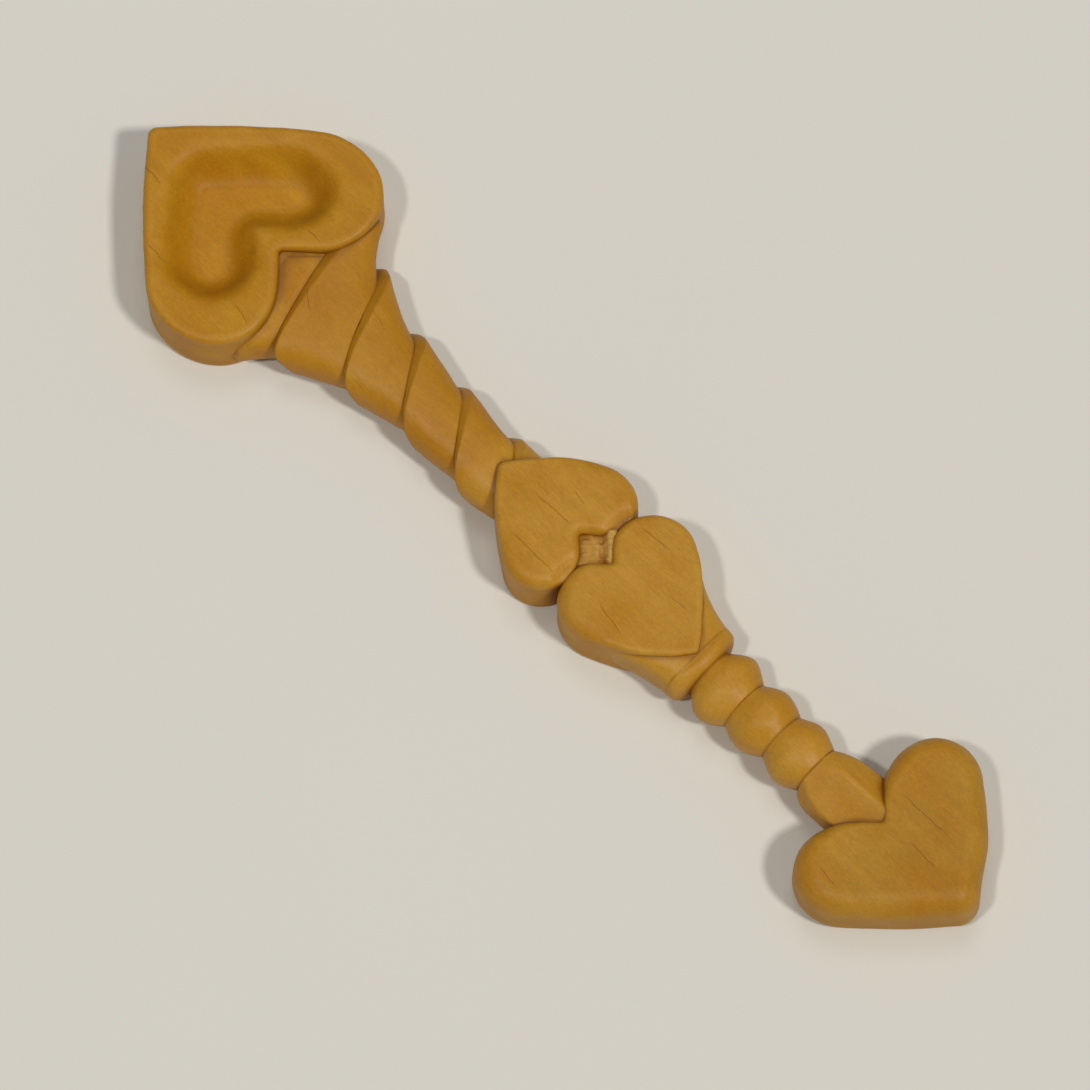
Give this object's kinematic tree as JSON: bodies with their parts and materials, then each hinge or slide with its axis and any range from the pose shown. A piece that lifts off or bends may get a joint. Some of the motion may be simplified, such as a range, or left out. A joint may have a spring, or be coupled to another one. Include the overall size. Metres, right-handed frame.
{
  "type": "love spoon",
  "caption": "Carved wooden love spoon with a gouged heart-shaped bowl, a tapering rope-twist stem, hearts joined at their lobes, a run of beads, a bud and a thick heart at the far end.",
  "frame": {"origin": "middle of the flat back, halfway along the spoon", "axes": "+X runs along the spoon from the tip of the bowl to the tip of the end heart, +Y across it, +Z out of the carved face"},
  "size_m": [0.2012, 0.0472, 0.0125],
  "materials": {
    "oiled_wood": "fine-sanded, oiled to a honey gold, satin",
    "tooled_wood": "rough from the tip of the knife, oiled"
  },
  "bodies": {
    "root": {"bowl": "oiled_wood", "twist_strand_a": "oiled_wood", "twist_strand_b": "oiled_wood", "upper_heart": "oiled_wood", "pit_floor": "tooled_wood", "lower_heart": "oiled_wood", "flare": "oiled_wood", "collar": "oiled_wood", "bead_1": "oiled_wood", "bead_2": "oiled_wood", "bead_3": "oiled_wood", "bud": "oiled_wood", "end_heart": "oiled_wood"}
  },
  "joints": []
}
